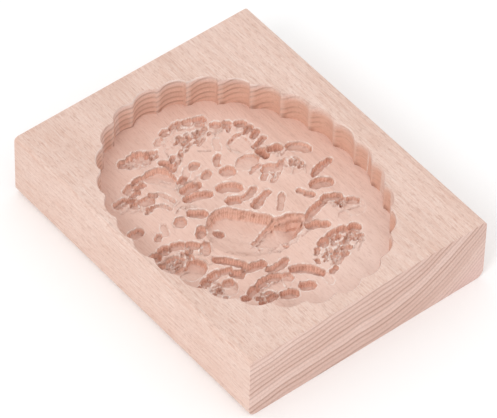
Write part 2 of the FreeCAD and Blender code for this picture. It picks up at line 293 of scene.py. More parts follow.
# Broad hollows: an outline, a depth, the step of its lobes or 0 for none, and how
# slowly its floor climbs.
LOBE_RISE = 0.35
HOLLOWS = [
    ([(-15.0, 29.4), (-13.6, 31.2), (-11.0, 31.7), (-9.4, 32.1), (-6.6, 30.6), (-5.4, 28.4),
      (-6.6, 26.8), (-9.6, 25.8), (-13.0, 27.2)],
     2.1, 1.9, 1.7),
    ([(-13.2, 22.4), (-12.4, 24.1), (-10.0, 24.6), (-7.2, 23.9), (-5.8, 21.4), (-5.9, 18.6),
      (-7.4, 16.4), (-9.2, 16.0), (-10.8, 18.8)],
     2.2, 0.0, 1.8),
    ([(7.6, 11.6), (9.2, 13.5), (11.8, 14.1), (14.4, 13.0), (14.6, 10.6), (12.4, 9.6), (9.2, 9.6)],
     1.3, 0.0, 1.9),
    ([(-26.3, -6.6), (-22.9, -6.2), (-20.6, -5.2), (-18.9, -6.2), (-18.2, -9.4), (-20.4, -11.2),
      (-24.6, -11.0)],
     1.9, 0.0, 1.8),
    ([(-20.2, -17.8), (-18.6, -16.2), (-16.6, -16.4), (-16.0, -18.6), (-18.0, -20.8), (-20.6, -20.4)],
     1.1, 0.0, 1.9),
    ([(-6.9, -24.8), (-6.2, -23.2), (-4.6, -22.8), (-3.4, -23.8), (-3.6, -25.4), (-5.0, -26.2),
      (-6.4, -25.9)],
     1.5, 0.0, 1.5),
    ([(17.2, 5.0), (19.6, 6.8), (22.2, 5.6), (22.6, 2.8), (20.4, 0.8), (17.4, 1.6)],
     0.7, 0.0, 1.9),
    ([(20.6, -15.4), (22.6, -14.4), (25.2, -14.8), (25.8, -17.2), (23.6, -19.4), (20.8, -18.4)],
     0.6, 0.0, 1.9),
    ([(17.6, -16.6), (19.2, -15.6), (20.6, -16.6), (20.4, -18.4), (18.8, -18.8), (17.6, -17.8)],
     0.5, 0.0, 1.9),
    ([(10.4, 18.6), (13.0, 20.4), (16.0, 19.6), (16.0, 15.8), (13.0, 14.6), (10.6, 15.8)],
     0.7, 0.0, 1.9),
    ([(-1.6, 29.6), (2.6, 31.4), (8.4, 30.6), (11.2, 27.6), (8.2, 25.4), (3.0, 25.2), (-1.2, 26.4)],
     0.6, 1.6, 1.9),
    ([(-24.4, -16.0), (-21.0, -14.4), (-19.4, -15.6), (-20.2, -18.4), (-22.2, -19.6), (-23.8, -18.4)],
     0.6, 0.0, 1.9),
    ([(-16.2, -24.8), (-11.6, -23.8), (-6.8, -24.6), (-5.6, -27.0), (-10.0, -27.6), (-14.6, -28.2)],
     0.5, 0.0, 1.9),
    ([(5.4, -23.2), (9.6, -21.8), (15.8, -22.6), (17.4, -25.0), (13.0, -27.0), (7.4, -27.2)],
     0.5, 0.0, 1.9),
]

# Stamped seed dots: the middle and the reach of a patch, and how many dots.
DOT_ROUND = 0.36
DOT_DEPTH = 0.4
SEED_PATCHES = [
    (-7.6, 28.8, 2.0, 1.3, 12),
    (-10.4, 30.8, 2.2, 0.7, 7),
    (3.6, 27.6, 2.6, 1.6, 18),
    (7.8, 26.6, 2.6, 1.6, 14),
    (-0.2, 28.2, 1.6, 2.2, 8),
    (9.4, -24.4, 3.0, 1.6, 12),
    (17.0, -25.4, 1.4, 2.2, 10),
    (6.2, -22.4, 1.2, 1.2, 6),
    (-25.0, -3.8, 2.4, 1.2, 8),
    (0.6, -15.4, 4.6, 1.2, 16),
    (-4.8, -12.8, 1.0, 1.2, 6),
    (20.6, -12.8, 1.4, 1.2, 6),
]

# Small leaning chips in the flowers: the middle and the reach of a patch, and how
# many chips. Their draws are numbered after those of the dots.
CHIP_DRAWS = 100
CHIP_SHADE = 0.8
CHIP_PATCHES = [
    (-7.4, 28.4, 2.6, 1.8, 12),
    (-12.0, 28.8, 2.0, 1.6, 5),
    (11.4, -23.6, 4.4, 2.6, 20),
    (8.2, -26.6, 2.4, 1.6, 6),
    (17.4, -23.6, 1.8, 1.8, 6),
    (-24.0, -3.8, 3.0, 1.6, 9),
    (21.2, -13.0, 2.2, 1.4, 7),
    (4.0, 27.4, 3.2, 2.0, 9),
    (8.6, 26.4, 2.6, 2.0, 7),
    (0.6, 24.4, 3.6, 1.2, 5),
    (13.6, 24.0, 2.0, 1.6, 4),
    (14.0, 5.4, 3.0, 2.2, 6),
    (19.4, 3.2, 2.4, 2.2, 5),
    (-20.6, -3.4, 3.0, 1.8, 6),
    (-17.4, 14.2, 2.4, 1.2, 4),
]

# Fine scratches of a pointed knife, and the thin burrs left standing between cuts,
# each from one point to another.
SCRATCH_WIDTH = 0.5
SCRATCH_DEPTH = 0.35
SCRATCHES = [
    (-24.4, 17.0, -21.2, 17.3), (-22.4, 15.8, -20.2, 15.4), (-18.8, 14.6, -16.0, 13.6),
    (19.2, -11.9, 22.0, -13.0), (18.8, -13.4, 21.4, -14.4), (19.4, -11.0, 22.4, -12.0),
    (18.8, 8.6, 21.6, 10.0), (19.6, 8.0, 22.2, 9.2), (-5.8, -11.1, -3.4, -10.1),
    (-3.4, -10.1, 0.2, -8.8), (-3.2, -15.6, -1.0, -16.8), (-1.0, -16.8, 4.4, -16.6),
    (2.0, -15.8, 6.2, -14.4), (4.4, -16.4, 9.0, -13.8), (6.4, -16.2, 9.6, -15.6),
    (14.4, -28.4, 18.0, -26.0), (14.0, -27.2, 16.2, -25.8), (15.8, -22.8, 18.4, -23.9),
    (16.0, -24.6, 18.6, -25.4), (-10.9, 9.9, -13.4, 8.9), (-10.4, 9.2, -10.8, 7.6),
    (-26.0, -7.8, -22.4, -7.2), (4.2, 22.0, 6.4, 20.2), (21.2, -16.2, 24.4, -17.0),
    (10.6, 23.4, 12.2, 25.2), (-9.2, 20.6, -8.0, 18.4), (-2.6, 27.4, -3.2, 24.2),
]
BURR_WIDTH = 0.6
BURR_HEIGHT = 0.35
BURRS = [
    (-16.9, 22.8, -16.5, 21.1), (-16.5, 21.1, -15.2, 20.5), (-14.9, 23.0, -13.9, 22.4),
    (-13.9, 22.4, -13.1, 23.3), (-6.3, 24.2, -5.8, 21.0), (-5.8, 21.0, -4.9, 19.9),
    (-9.2, 13.0, -9.0, 14.9), (-9.0, 14.9, -7.2, 15.7), (-7.2, 15.7, -4.0, 15.2),
    (-12.8, 10.8, -10.6, 11.5), (-12.6, 9.7, -9.8, 8.6), (-9.8, 8.6, -8.2, 7.6),
    (-18.8, 18.0, -18.9, 15.9), (-18.9, 15.9, -19.8, 14.6), (-16.4, 6.8, -16.8, 5.2),
    (-0.7, 30.4, -0.5, 31.8), (2.7, 31.8, 2.5, 33.0), (4.1, 31.2, 4.4, 32.0),
    (6.9, 31.0, 6.6, 32.6), (9.3, 30.4, 9.5, 31.8), (10.8, 24.4, 12.8, 23.8),
    (12.8, 23.8, 14.0, 25.4), (14.0, 25.4, 15.6, 26.4), (16.4, 21.9, 18.2, 21.3),
    (-3.6, 21.0, -1.8, 21.9), (-1.8, 21.9, -0.2, 23.6), (-0.2, 23.6, 3.0, 24.3),
    (5.6, 28.2, 7.2, 27.2), (1.8, 27.2, 2.6, 25.8), (8.2, 28.4, 9.2, 27.2),
    (14.9, 10.0, 14.9, 13.8), (18.2, 13.6, 18.3, 9.8), (18.3, 9.8, 19.6, 8.6),
    (-27.8, -1.7, -26.0, -2.2), (-26.0, -2.2, -24.4, -1.5), (-24.4, -1.5, -22.8, -1.9),
    (-25.3, 1.6, -25.2, -0.4), (-21.9, 1.5, -22.6, -0.4), (-18.2, -0.4, -18.7, -1.8),
    (-25.6, -4.2, -24.6, -3.2), (-24.6, -3.2, -22.8, -3.1), (-26.8, -6.0, -23.6, -5.9),
    (-23.6, -5.9, -21.2, -4.8), (-19.6, -5.2, -18.0, -7.4), (-18.0, -7.4, -17.7, -9.6),
    (-17.2, -6.4, -15.9, -3.7), (-15.9, -3.7, -13.8, -2.6), (-13.2, -3.9, -14.4, -6.4),
    (-17.2, -9.6, -15.4, -8.0), (-24.4, -16.0, -23.0, -16.5), (-23.0, -16.5, -21.8, -15.2),
    (-22.2, -18.4, -21.7, -16.9), (-21.7, -16.9, -20.0, -16.5), (-19.8, -17.0, -20.6, -19.2),
    (-20.9, -12.4, -20.8, -14.4), (-17.7, -12.2, -17.4, -14.2), (-16.3, -14.9, -14.4, -13.9),
    (-12.7, -22.0, -12.9, -24.0), (-9.2, -21.9, -8.8, -23.8), (-6.6, -23.6, -7.2, -26.4),
    (-15.4, -26.6, -13.6, -26.4), (-13.6, -26.4, -10.0, -26.4), (-14.3, -28.0, -13.6, -26.4),
    (-10.6, -28.6, -9.9, -27.2), (-5.1, -29.4, -3.6, -27.9), (-12.8, -23.9, -15.8, -24.6),
    (5.8, -26.2, 7.6, -24.2), (7.6, -24.2, 8.6, -22.8), (7.9, -25.6, 10.8, -24.6),
    (10.2, -22.4, 12.2, -22.2), (12.2, -22.2, 12.8, -24.2), (13.6, -22.8, 16.2, -22.6),
    (16.2, -22.6, 18.6, -23.6), (6.2, -28.0, 8.8, -26.5), (8.8, -26.5, 11.6, -26.0),
    (10.9, -20.0, 11.0, -21.4), (14.6, -19.6, 14.7, -21.2), (17.2, -20.6, 17.3, -22.2),
    (20.4, -0.4, 21.8, 1.6), (21.8, 1.6, 22.2, 4.0), (22.2, 4.0, 21.2, 6.0), (21.2, 6.0, 19.0, 6.8),
    (19.2, 3.0, 20.6, 4.6), (17.8, 1.6, 19.0, 3.0), (10.8, 18.9, 10.6, 17.0), (10.6, 17.0, 11.6, 15.4),
    (-21.6, -2.0, -19.6, -3.6), (-20.6, -0.9, -18.6, -3.0), (-18.9, -4.4, -17.2, -6.2),
    (18.8, -12.6, 21.8, -13.7), (20.4, -14.9, 22.4, -13.6), (9.0, -13.4, 10.4, -13.6),
]


def rise(value, low, high):
    """Rises smoothly from 0 at low to 1 at high."""
    reach = np.clip((value - low) / (high - low), 0, 1)
    return reach * reach * (3 - 2 * reach)


def line(away, width):
    """1 on a line, down to 0 at a width from it."""
    return np.clip(1 - np.abs(away) / width, 0, 1)


def along_stroke(x, y, stroke):
    """How far points lie along a stroke, from its path, and from it towards the steep side."""
    x1, y1, x2, y2, bow = *stroke[:4], stroke[-1]
    length = math.hypot(x2 - x1, y2 - y1)
    ux, uy = (x2 - x1) / length, (y2 - y1) / length
    dx, dy = x - (x1 + x2) / 2, y - (y1 + y2) / 2
    along, beside = dx * ux + dy * uy, dy * ux - dx * uy
    travel, on_beside = along, 0.0
    on_along = np.clip(along, -length / 2, length / 2)
    if bow:
        radius = (length * length / 4 + bow * bow) / (2 * abs(bow))
        side = math.copysign(1.0, bow)
        centre = side * (abs(bow) - radius)
        swing = math.asin(min(1.0, length / 2 / radius))
        turn = np.arctan2(along, side * (beside - centre))
        travel = turn * radius
        turn = np.clip(turn, -swing, swing)
        on_along, on_beside = radius * np.sin(turn), centre + side * radius * np.cos(turn)
    off_along, off_beside = along - on_along, beside - on_beside
    lean = off_along * (ux * STEEP_SIDE[0] + uy * STEEP_SIDE[1])
    lean = lean + off_beside * (ux * STEEP_SIDE[1] - uy * STEEP_SIDE[0])
    return travel, np.hypot(off_along, off_beside), lean


def smooth_outline(corners, steps=8):
    """A closed smooth curve through its corners."""
    points = []
    count = len(corners)
    for n in range(count):
        p0, p1, p2, p3 = (np.array(corners[(n + k - 1) % count]) for k in range(4))
        for t in np.arange(steps) / steps:
            points.append(0.5 * (2 * p1 + (p2 - p0) * t + (2 * p0 - 5 * p1 + 4 * p2 - p3) * t * t
                                 + (3 * p1 - p0 - 3 * p2 + p3) * t**3))
    return points


def inside_outline(x, y, corners):
    """How far points lie inside a closed curve, and where along it they are nearest."""
    points = smooth_outline(corners)
    nearest = np.full(x.shape, 1e9)
    place = np.zeros(x.shape)
    inside = np.zeros(x.shape, bool)
    walked = 0.0
    for (ax, ay), (bx, by) in zip(points, points[1:] + points[:1]):
        ex, ey = bx - ax, by - ay
        length = math.hypot(ex, ey)
        t = np.clip(((x - ax) * ex + (y - ay) * ey) / length**2, 0, 1)
        away = np.hypot(x - ax - t * ex, y - ay - t * ey)
        place = np.where(away < nearest, walked + t * length, place)
        nearest = np.minimum(nearest, away)
        crosses = (ay > y) != (by > y)
        inside ^= crosses & (x < ax + (y - ay) * ex / (ey if ey else 1e-9))
        walked += length
    return np.where(inside, nearest, -nearest), place


def gouged(inside, depth, hollow, slope=WALL_SLOPE):
    """Depth of an even cut: a steep wall at its edge, and a floor that hollows out from it."""
    reach = np.clip(inside / hollow, 0, 1)
    return np.minimum(depth * np.sqrt(1 - (1 - reach) ** 2), slope * np.maximum(inside, 0))


def scooped(inside, depth, lean, climb=1.3):
    """Depth of a leaning cut: steep on the far side, with a floor that climbs to the near side."""
    floor = depth * (NEAR_LIP + (1 - NEAR_LIP) * rise(lean, -1, climb - 1))
    return np.minimum(floor, WALL_SLOPE * np.maximum(inside, 0))


def scattered(patch, turn, reach):
    """A point of a patch, from two draws."""
    x, y, across, along = patch
    angle, out = 2 * math.pi * turn, math.sqrt(reach)
    return x + across * out * math.cos(angle), y + along * out * math.sin(angle)


class Carving:
    """Depths below the floor at a set of points, cut one after another."""

    def __init__(self, x, y):
        x, y = x - PICTURE_MIDDLE.x, y - PICTURE_MIDDLE.y
        self.x = x + HAND_WOBBLE * (np.sin(1.9 * y + 0.6 * x) + np.sin(3.7 * y - 1.3 * x))
        self.y = y + HAND_WOBBLE * (np.sin(2.1 * x - 0.7 * y) + np.sin(3.3 * x + 1.9 * y))
        self.x = self.x + FINE_WOBBLE * np.sin(6.1 * y + 2.3 * x)
        self.y = self.y + FINE_WOBBLE * np.sin(5.3 * x - 3.1 * y)
        self.far = self.x * STEEP_SIDE[0] + self.y * STEEP_SIDE[1]
        self.depth = np.zeros(x.shape)
        self.travel = np.zeros(x.shape)
        self.rim = np.zeros(x.shape)
        self.shade = np.zeros(x.shape)

    def cut(self, inside, depth, travel, full, edge=1.0, shade=0.0):
        """Keeps the deeper of the old surface and the new cut, and marks its rim for a painted
        highlight and its painted shade.
        """
        deeper = depth > self.depth
        # The rim of a cut carries a painted highlight.
        rim = edge * line(inside + RIM_INSET, RIM_REACH)
        self.rim = np.where(deeper, rim, np.maximum(self.rim, rim * (full > self.depth)))
        self.depth = np.where(deeper, depth, self.depth)
        self.travel = np.where(deeper, travel, self.travel)
        self.shade = np.where(deeper, shade, self.shade)

    def hollow(self, corners, depth, lobes, climb):
        """A broad hollow, whose edge may swing in lobes."""
        inside, place = inside_outline(self.x, self.y, corners)
        if lobes:
            inside = inside - LOBE_RISE * (1 - np.abs(np.sin(math.pi * place / lobes)))
        reach = [x * STEEP_SIDE[0] + y * STEEP_SIDE[1] for x, y in corners]
        lean = 2 * (self.far - min(reach)) / (max(reach) - min(reach)) - 1
        floor = scooped(inside, depth, lean, climb)
        self.cut(inside, floor, place, depth, rise(depth, 0, RIM_HIGHLIGHT_DEPTH))

    def stroke(self, stroke, dark=STROKE_SHADE):
        """One gouge cut, thinner at its ends and darker at its foot."""
        travel, away, lean = along_stroke(self.x, self.y, stroke)
        half, depth = stroke[4] / 2 + STROKE_SPREAD, stroke[5]
        length = math.hypot(stroke[2] - stroke[0], stroke[3] - stroke[1])
        taper = END_TAPER * rise(length, 0, LONG_STROKE)
        half = half * (1 - taper * np.clip(travel / (length / 2 + half), -1, 1) ** 2)
        inside = half - away
        floor = scooped(inside, depth, lean / half)
        # Painted shade towards the foot of the cut.
        foot = rise(floor / depth, 0.45, 0.95) * rise(depth, 0.3, 1.3)
        self.cut(inside, floor, travel, depth, 1.0, dark * foot)

    def bird(self):
        """The body deepens from its breast to its back, and the wing lies in it in two steps."""
        body, round_body = inside_outline(self.x, self.y, BIRD)
        climb = rise(self.far, -17, -3) * rise(self.x, -15, -6)
        floor = gouged(body, BIRD_DEPTH * climb, BIRD_HOLLOW, BIRD_SLOPE)
        # Painted shade along the wall of the body.
        shade = 0.9 * (1 - rise(body, 0, BIRD_HOLLOW))
        self.cut(body, floor, round_body, BIRD_DEPTH, climb**3, shade)

        wing, round_wing = inside_outline(self.x, self.y, WING)
        climb = rise(self.y + 0.35 * np.maximum(self.x - 2, 0), -16.5, -13)
        shelf = floor + gouged(wing, np.maximum(WING_SHELF - floor, WING_STEP) * climb,
                               WING_LEDGE / 2, WING_SLOPE)
        bottom = WING_DEPTH + (TAIL_DEPTH - WING_DEPTH) * rise(self.x, 3, 9)
        inner = gouged(wing - WING_LEDGE, np.maximum(bottom - shelf, 0) * climb,
                       WING_LEDGE, WING_SLOPE)
        # Painted shade in the wing, darkest in lines at the ledge and near its edge.
        shade = 0.4 * (1 - rise(wing, WING_LEDGE + 0.2, 2 * WING_LEDGE))
        shade = shade + 2.0 * line(wing - WING_LEDGE, 0.3) + 0.5 * line(wing - 0.25, 0.2)
        self.cut(wing, np.where(wing > 0, shelf + inner, 0), 0.7 * wing + 0.04 * round_wing,
                 BELOW_ALL, climb, shade)

        dx, dy = self.x - EYE[0], self.y - EYE[1]
        away = (dx * STEEP_SIDE[0] + dy * STEEP_SIDE[1]) / EYE_STRETCH
        eye = EYE_ROUND - np.hypot(away, dy * STEEP_SIDE[0] - dx * STEEP_SIDE[1])
        # The eye hole gets painted shade.
        self.cut(eye, np.where(eye > 0, floor + gouged(eye, EYE_DEPTH, 1.1), 0), self.x,
                 BELOW_ALL, 1.0, 0.5)

    def dent(self, inside, depth):
        """A small mark pressed into whatever surface is there already."""
        self.depth = self.depth + gouged(inside, depth, DOT_ROUND)
        # A faint painted highlight round the mark.
        self.rim = np.maximum(self.rim, 0.3 * line(inside + RIM_INSET, RIM_REACH))

    def chips(self):
        """Short leaning cuts scattered over the middle of a flower."""
        for number, (*patch, count) in enumerate(CHIP_PATCHES):
            dice = np.random.default_rng(CHIP_DRAWS + number)
            for turn, reach, size, lean in dice.random((count, 4)):
                x, y = scattered(patch, turn, reach)
                half = 0.3 + 0.5 * size
                tilt = 0.6 + 1.6 * (lean - 0.5)
                dx, dy = half * math.cos(tilt), half * math.sin(tilt)
                width, depth = 0.5 + 0.5 * size, 0.9 + 0.7 * size
                self.stroke((x - dx, y - dy, x + dx, y + dy, width, depth, 0.0), CHIP_SHADE)

    def seeds(self):
        """Stamped dots scattered over the middle of a flower."""
        for number, (*patch, count) in enumerate(SEED_PATCHES):
            dice = np.random.default_rng(number)
            for turn, reach, size in dice.random((count, 3)):
                x, y = scattered(patch, turn, reach)
                away = np.hypot(self.x - x, self.y - y)
                self.dent(DOT_ROUND * (0.7 + 0.6 * size) - away, DOT_DEPTH)

    def scratches(self):
        for scratch in SCRATCHES:
            away = along_stroke(self.x, self.y, (*scratch, 0.0))[1]
            self.dent(SCRATCH_WIDTH / 2 - away, SCRATCH_DEPTH)
            # The scratch gets painted shade along it.
            self.shade = np.maximum(self.shade, 0.9 * line(away, SCRATCH_WIDTH))

    def burrs(self):
        for burr in BURRS:
            away = along_stroke(self.x, self.y, (*burr, 0.0))[1]
            inside = BURR_WIDTH / 2 - away
            self.depth = self.depth - gouged(inside, BURR_HEIGHT, BURR_WIDTH / 2)
            # A painted highlight along the top of the burr.
            self.rim = np.maximum(self.rim, np.clip(inside / BURR_WIDTH * 3, 0, 1))


def carve(x, y):
    """Makes every cut of the picture, in its order."""
    carving = Carving(x, y)
    carving.bird()
    for hollow in HOLLOWS:
        carving.hollow(*hollow)
    for strokes in STROKES.values():
        for stroke in strokes:
            carving.stroke(stroke)
    carving.chips()
    carving.seeds()
    carving.scratches()
    carving.burrs()
    return carving


def new_piece(name, shape):
    mesh = bpy.data.meshes.new(name)
    shape.to_mesh(mesh)
    shape.free()
    piece = bpy.data.objects.new(name, mesh)
    bpy.context.scene.collection.objects.link(piece)
    return piece


def board_block():
    """The planed block, rounded along the grain and eased at its ends."""
    block = bmesh.new()
    bmesh.ops.create_cube(block, size=1)
    size = BOARD_HIGH - BOARD_LOW
    bmesh.ops.scale(block, vec=size, verts=block.verts)
    bmesh.ops.translate(block, vec=(BOARD_HIGH + BOARD_LOW) / 2, verts=block.verts)
    for height, radius in ((BOARD_HIGH.z, EDGE_ROUND), (BOARD_LOW.z, FOOT_ROUND)):
        along = [e for e in block.edges if abs(e.verts[0].co.y - e.verts[1].co.y) > size.y / 2
                 and abs(e.verts[0].co.z - height) < 1e-3]
        bmesh.ops.bevel(block, geom=along, offset=radius, segments=ROUND_STEPS, profile=0.5,
                        affect="EDGES", material=-1)
    ends = [e for e in block.edges if all(abs(abs(v.co.y) - size.y / 2) < 1e-3 for v in e.verts)]
    bmesh.ops.bevel(block, geom=ends, offset=END_EASE, segments=2, profile=0.5,
                    affect="EDGES", material=-1)
    return new_piece("block", block)


def scallop_outline():
    """Points around the rim: lobes of one arc each, with rounded cusps between them."""
    tip = Vector((RECESS_ACROSS / 2, RECESS_ALONG / 2))

    def rim(step, inset):
        turn = math.pi * (step - 1) / SCALLOPS
        angle = turn + RECESS_STRETCH * math.sin(2 * turn)
        return Vector(((tip.x - inset) * math.cos(angle), (tip.y - inset) * math.sin(angle)))

    points = []
    for lobe in range(SCALLOPS):
        start, end = (rim(2 * lobe + step, SCALLOP_RISE) for step in (0, 2))
        crown = rim(2 * lobe + 1, 0)
        chord = end - start
        out = crown - (start + end) / 2
        radius = (chord.length_squared / 4 + out.length_squared) / (2 * out.length)
        centre = crown - out.normalized() * radius
        first, last = start - centre, end - centre
        swing = first.angle_signed(last)
        for step in range(1, LOBE_STEPS):
            arm = first.copy()
            arm.rotate(Matrix.Rotation(-swing * step / LOBE_STEPS, 2))
            points.append(centre + arm)
        before = points[-1]
        after = end + (before - end).reflect(end.orthogonal().normalized())
        for t in (0.25, 0.5, 0.75):
            points.append(before * (1 - t) ** 2 + end * 2 * t * (1 - t) + after * t * t)
    return [point + RECESS_MIDDLE for point in points]


def pulled_rim(shape):
    """Pulls a wall out of the open edge of a shape, and gives the new points."""
    rim = [e for e in shape.edges if e.is_boundary]
    pulled = bmesh.ops.extrude_edge_only(shape, edges=rim)["geom"]
    return [part for part in pulled if isinstance(part, bmesh.types.BMVert)]


def closed_piece(name, shape):
    """Fills the open edge of a shape and makes it a piece."""
    bmesh.ops.holes_fill(shape, edges=[e for e in shape.edges if e.is_boundary])
    bmesh.ops.recalc_face_normals(shape, faces=shape.faces)
    return new_piece(name, shape)


def recess_prism():
    """The space of the recess, with a small slope at its rim."""
    prism = bmesh.new()
    prism.faces.new([prism.verts.new(point.to_3d()) for point in scallop_outline()])
    for height, spread in ((BOARD_HIGH.z - RIM_SLOPE, 0),
                           (BOARD_HIGH.z + SLOPE_ABOVE, SLOPE_ABOVE + RIM_SLOPE)):
        for vert in pulled_rim(prism):
            place = vert.co.xy + (vert.co.xy - RECESS_MIDDLE).normalized() * spread
            vert.co = (*place, height)
    return closed_piece("prism", prism)


def carved_slab():
    """The space over the carved floor: a fine grid lowered to the cuts, and closed above."""
    slab = bmesh.new()
    half_x, half_y = RECESS_ACROSS / 2 + SLAB_BESIDE, RECESS_ALONG / 2 + SLAB_BESIDE
    bmesh.ops.create_grid(slab, x_segments=round(2 * half_x / FLOOR_STEP),
                          y_segments=round(2 * half_y / FLOOR_STEP), size=1)
    bmesh.ops.scale(slab, vec=(half_x, half_y, 1), verts=slab.verts)
    bmesh.ops.translate(slab, vec=RECESS_MIDDLE.to_3d(), verts=slab.verts)
    x, y = np.array([v.co[:2] for v in slab.verts]).T
    for vert, depth in zip(slab.verts, carve(x, y).depth):
        vert.co.z = FLOOR - depth
    for vert in pulled_rim(slab):
        vert.co.z = BOARD_HIGH.z + SLAB_ABOVE
    return closed_piece("slab", slab)


def combine(piece, tool, operation):
    """Applies one boolean and removes the tool."""
    modifier = piece.modifiers.new("cut", "BOOLEAN")
    modifier.solver = "MANIFOLD"
    modifier.operation = operation
    modifier.object = tool
    depsgraph = bpy.context.evaluated_depsgraph_get()
    mesh = bpy.data.meshes.new_from_object(piece.evaluated_get(depsgraph))
    piece.modifiers.clear()
    piece.data = mesh
    bpy.data.objects.remove(tool)


def mark_cuts(mesh):
    """Stores what was cut at each point, and where the cusps of the wall lie, for the wood and its
    painted light and shade.
    """
    x, y, z = np.array([v.co[:] for v in mesh.vertices]).T
    carving = carve(x, y)
    across = (x - RECESS_MIDDLE.x) / (RECESS_ACROSS / 2)
    along = (y - RECESS_MIDDLE.y) / (RECESS_ALONG / 2)
    reach = np.hypot(across, along)
    in_well = (reach < 1.04) & (z > FLOOR - BELOW_ALL)
    on_floor = (reach < 1.002) & (z > FLOOR - BELOW_ALL) & (z < FLOOR + 0.01)
    angle = np.arctan2(along, across)
    turn = angle - RECESS_STRETCH * np.sin(2 * angle)
    cusp = turn * SCALLOPS / (2 * math.pi) % 1.0 - 0.5
    marks = {
        "well": on_floor,
        "cut": on_floor * carving.depth,
        "rim": on_floor * carving.rim,
        "travel": on_floor * carving.travel,
        "shade": on_floor * np.clip(carving.shade, 0, 3),
        # Where the painted highlight of each cusp ridge lies.
        "ridge": in_well * line(cusp - 0.02, 0.12),
        # Where the painted shade beside the foot of each cusp lies.
        "foot": in_well * np.interp(cusp, (-0.225, -0.075, 0.0, 0.04), (0, 1, 1, 0)),
    }
    for name, values in marks.items():
        mark = mesh.attributes.new(name, "FLOAT", "POINT")
        mark.data.foreach_set("value", values.astype(np.float32))


def carved_board():
    plug = carved_slab()
    combine(plug, recess_prism(), "INTERSECT")
    board = board_block()
    combine(board, plug, "DIFFERENCE")
    board.name = "carved_board"
    fine = bmesh.new()
    fine.from_mesh(board.data)
    for face in fine.faces:
        face.smooth = True
    for e in fine.edges:
        on_top = all(v.co.z > BOARD_HIGH.z - 0.01 for v in e.verts)
        e.smooth = e.calc_face_angle() < math.radians(TOP_CREASE if on_top else CREASE)
    fine.to_mesh(board.data)
    fine.free()
    mark_cuts(board.data)
    board.data.transform(Matrix.Scale(MM, 4))
    return board


class Field:
    """A number or a colour over the surface, worked out from others by plain arithmetic."""

    def __init__(self, nodes, socket):
        self.nodes, self.socket = nodes, socket

    def maths(self, operation, *values):
        return self.nodes.add("Math", {"operation": operation}, dict(enumerate(values)))

    def __add__(self, other):
        return self.maths("ADD", self, other)

    def __radd__(self, other):
        return self.maths("ADD", other, self)

    def __sub__(self, other):
        return self.maths("SUBTRACT", self, other)

    def __rsub__(self, other):
        return self.maths("SUBTRACT", other, self)

    def __mul__(self, other):
        return self.maths("MULTIPLY", self, other)

    def __rmul__(self, other):
        return self.maths("MULTIPLY", other, self)

    def __truediv__(self, other):
        return self.maths("DIVIDE", self, other)

    def __rtruediv__(self, other):
        return self.maths("DIVIDE", other, self)

    def __abs__(self):
        return self.maths("ABSOLUTE", self)

    def wave(self):
        return self.maths("SINE", self)

    def whole(self):
        return self.maths("FLOOR", self)

    def at_least(self, low):
        return self.maths("MAXIMUM", self, low)

    def between(self, low, high):
        """Rises smoothly from 0 at low to 1 at high; falls when low is the larger."""
        if low > high:
            return 1.0 - self.between(high, low)
        return self.nodes.add("MapRange", {"interpolation_type": "SMOOTHSTEP"},
                              {"Value": self, "From Min": low, "From Max": high})


class Nodes:
    """The nodes of one material or world."""

    def __init__(self, tree):
        self.tree = tree

    def feed(self, socket, value):
        if isinstance(value, Field):
            self.tree.links.new(value.socket, socket)
        else:
            socket.default_value = value

    def add(self, kind, settings=None, inputs=None, output=0):
        """Adds one node from its type, its settings and its inputs, and gives its output."""
        node = self.tree.nodes.new("ShaderNode" + kind)
        for name, setting in (settings or {}).items():
            setattr(node, name, setting)
        for name, value in (inputs or {}).items():
            self.feed(node.inputs[name], value)
        return Field(self, node.outputs[output] if node.outputs else None)

    def attribute(self, name):
        return self.add("Attribute", {"attribute_name": name}, output="Fac")

    def parts(self, vector):
        return [self.add("SeparateXYZ", {}, {0: vector}, axis) for axis in "XYZ"]

    def noise(self, x, y, z, detail=2.0):
        """Smooth noise about 0.5, at the coordinates given."""
        place = self.add("CombineXYZ", {}, {"X": x, "Y": y, "Z": z})
        return self.add("TexNoise", {}, {"Vector": place, "Scale": 1.0, "Detail": detail}, "Fac")

    def tint(self, amount, colour, other):
        """Moves a colour towards another by an amount."""
        return self.add("Mix", {"data_type": "RGBA"}, {0: amount, 6: colour, 7: other}, 2)


PALE_WOOD = (0.775, 0.55, 0.465, 1)
WARM_WOOD = (0.71, 0.475, 0.385, 1)
RING_BROWN = (0.38, 0.21, 0.155, 1)
RAY_BROWN = (0.50, 0.27, 0.20, 1)
END_PINK = (0.83, 0.59, 0.54, 1)
WELL_TAN_AND_SHADE = (0.72, 0.40, 0.285, 1)
FLOOR_PAINTED_LIGHT = (1.0, 0.62, 0.52, 1)
CUT_TAN_AND_SHADE = (1.0, 0.50, 0.34, 1)
CUT_SHADE_BROWN = (0.30, 0.12, 0.075, 1)
CREAM_FIBRE_AND_HIGHLIGHT = (1.0, 0.92, 0.86, 1)

# The rings lie nearly flat on the left and climb more and more to the right.
RING_SLOPE = 0.09
RING_BEND = 5.0
RING_CURVE = 0.0125
RING_STEP = 1.75
STRIPE_STEP = 0.67


